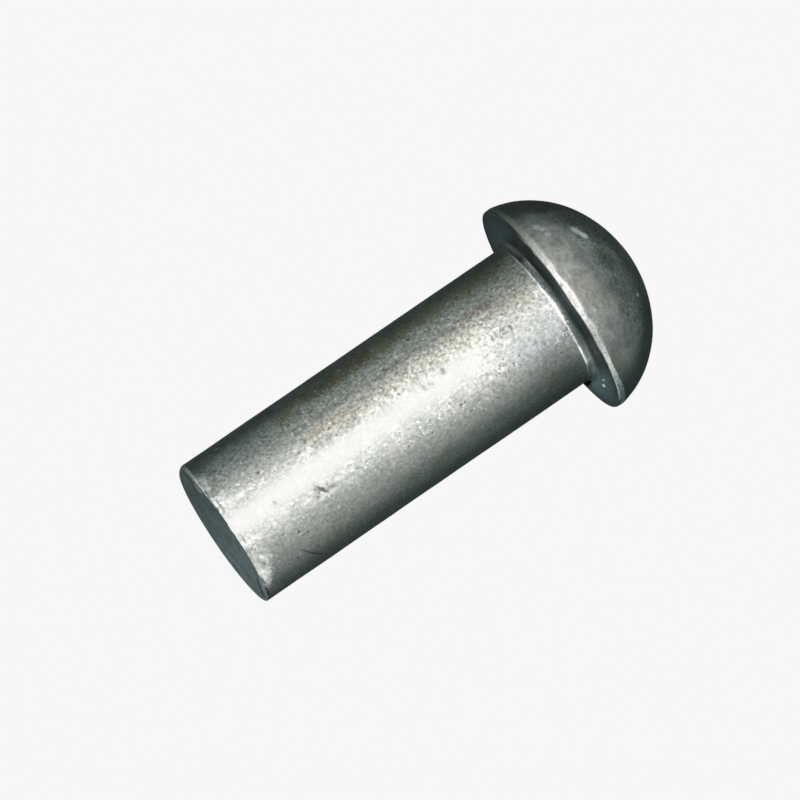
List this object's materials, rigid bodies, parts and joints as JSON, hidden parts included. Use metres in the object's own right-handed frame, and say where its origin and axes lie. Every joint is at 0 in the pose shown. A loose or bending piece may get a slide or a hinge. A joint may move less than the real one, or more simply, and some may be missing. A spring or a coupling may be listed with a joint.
{
  "type": "round head solid rivet",
  "caption": "One-piece steel rivet with a domed round head and a plain round shank. The shank goes through drilled plates and its cropped end is hammered into a second head.",
  "frame": {"origin": "centre of the flat bearing face under the head", "axes": "+Z along the rivet's axis towards the crown of the head, so the shank points to -Z; -X is the side where the shear blade rolled the cropped end over"},
  "size_m": [0.0238, 0.0238, 0.0501],
  "materials": {
    "steel": "as forged and tumbled: grey, fine-speckled, slightly oily, with dark and olive-brown scale stains"
  },
  "bodies": {
    "root": {"rivet": "steel"}
  },
  "joints": []
}
